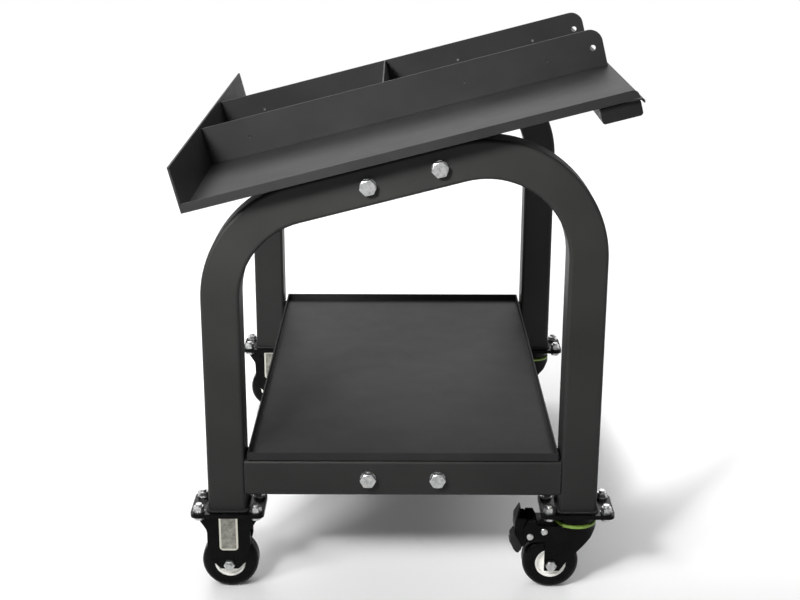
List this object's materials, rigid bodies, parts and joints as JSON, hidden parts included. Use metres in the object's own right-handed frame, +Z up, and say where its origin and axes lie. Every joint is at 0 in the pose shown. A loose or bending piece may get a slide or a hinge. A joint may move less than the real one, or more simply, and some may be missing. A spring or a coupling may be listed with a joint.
{
  "type": "equipment cart",
  "caption": "Low four-wheeled steel cart: two bent square-tube hoop frames, a lipped shelf, a sloped tray with divider fins, two rigid and two braked swivel casters.",
  "frame": {"origin": "on the floor under the middle of the cart", "axes": "+Z up, +X towards the high end of the tray, -Y towards the near side"},
  "size_m": [0.5736, 0.77, 0.7275],
  "materials": {
    "frame_coat": "satin powder coat",
    "sheet_coat": "satin powder coat",
    "caster_enamel": "gloss enamel",
    "zinc": "bright zinc plate",
    "green_seal": "moulded",
    "white_nylon": "moulded",
    "black_tread": "polished tread",
    "pad_rubber": "moulded",
    "label_metal": "brushed blank plate",
    "black_plastic": "moulded"
  },
  "bodies": {
    "root": {"hoop_frame_near": "frame_coat", "hoop_frame_far": "frame_coat", "lower_rail_near": "frame_coat", "lower_rail_far": "frame_coat", "upper_cross_channel": "frame_coat", "lower_cross_channel": "frame_coat", "channel_end_plates": "frame_coat", "sheet_studs": "zinc", "stud_nuts": "zinc", "frame_bolts": "zinc", "frame_bolt_washers": "zinc", "frame_bolt_nuts": "zinc", "shelf_tray": "sheet_coat", "tray_pan": "sheet_coat", "tray_end_plate": "sheet_coat", "divider_near": "sheet_coat", "divider_far": "sheet_coat", "cross_divider": "sheet_coat", "end_box_tube": "sheet_coat", "end_tube_caps": "black_plastic", "foot_plates": "frame_coat", "plate_bolts": "zinc", "plate_washers": "zinc", "plate_nuts": "zinc", "rigid_bracket_near_left": "caster_enamel", "rigid_bracket_far_left": "caster_enamel", "rigid_axle_bolts": "zinc", "rigid_axle_nuts": "zinc", "rigid_axle_sleeves": "zinc", "blank_label_plates": "label_metal", "swivel_plate_near_right": "caster_enamel", "swivel_plate_far_right": "caster_enamel", "king_pin_near_right": "zinc", "king_pin_far_right": "zinc"},
    "wheel_near_left": {"wheel_hub_near_left": "white_nylon", "tyre_near_left": "black_tread"},
    "wheel_far_left": {"wheel_hub_far_left": "white_nylon", "tyre_far_left": "black_tread"},
    "caster_near_right": {"fork_near_right": "caster_enamel", "seal_ring_near_right": "green_seal", "swivel_balls_near_right": "zinc", "axle_bolt_near_right": "zinc", "axle_nut_near_right": "zinc", "axle_sleeve_near_right": "zinc", "brake_pins_near_right": "zinc"},
    "wheel_near_right": {"wheel_hub_near_right": "white_nylon", "tyre_near_right": "black_tread"},
    "brake_near_right": {"brake_pedal_near_right": "caster_enamel", "pedal_pad_near_right": "pad_rubber"},
    "caster_far_right": {"fork_far_right": "caster_enamel", "seal_ring_far_right": "green_seal", "swivel_balls_far_right": "zinc", "axle_bolt_far_right": "zinc", "axle_nut_far_right": "zinc", "axle_sleeve_far_right": "zinc", "brake_pins_far_right": "zinc"},
    "wheel_far_right": {"wheel_hub_far_right": "white_nylon", "tyre_far_right": "black_tread"},
    "brake_far_right": {"brake_pedal_far_right": "caster_enamel", "pedal_pad_far_right": "pad_rubber"}
  },
  "joints": [
    {"name": "wheel_spin_near_left", "type": "hinge", "parent": "root", "child": "wheel_near_left", "pos_m": [-0.234, -0.325, 0.038], "axis": [0, 1, 0], "continuous": true},
    {"name": "wheel_spin_far_left", "type": "hinge", "parent": "root", "child": "wheel_far_left", "pos_m": [-0.234, 0.325, 0.038], "axis": [0, 1, 0], "continuous": true},
    {"name": "caster_swivel_near_right", "type": "hinge", "parent": "root", "child": "caster_near_right", "pos_m": [0.234, -0.325, 0.0955], "axis": [0, 0, 1], "continuous": true},
    {"name": "wheel_spin_near_right", "type": "hinge", "parent": "caster_near_right", "child": "wheel_near_right", "pos_m": [0.201, -0.325, 0.038], "axis": [0, 1, 0], "continuous": true},
    {"name": "brake_press_near_right", "type": "hinge", "parent": "caster_near_right", "child": "brake_near_right", "pos_m": [0.1716, -0.325, 0.0806], "axis": [0, -1, 0], "range_deg": [0, 9]},
    {"name": "caster_swivel_far_right", "type": "hinge", "parent": "root", "child": "caster_far_right", "pos_m": [0.234, 0.325, 0.0955], "axis": [0, 0, 1], "continuous": true},
    {"name": "wheel_spin_far_right", "type": "hinge", "parent": "caster_far_right", "child": "wheel_far_right", "pos_m": [0.201, 0.325, 0.038], "axis": [0, 1, 0], "continuous": true},
    {"name": "brake_press_far_right", "type": "hinge", "parent": "caster_far_right", "child": "brake_far_right", "pos_m": [0.1716, 0.325, 0.0806], "axis": [0, -1, 0], "range_deg": [0, 9]}
  ]
}
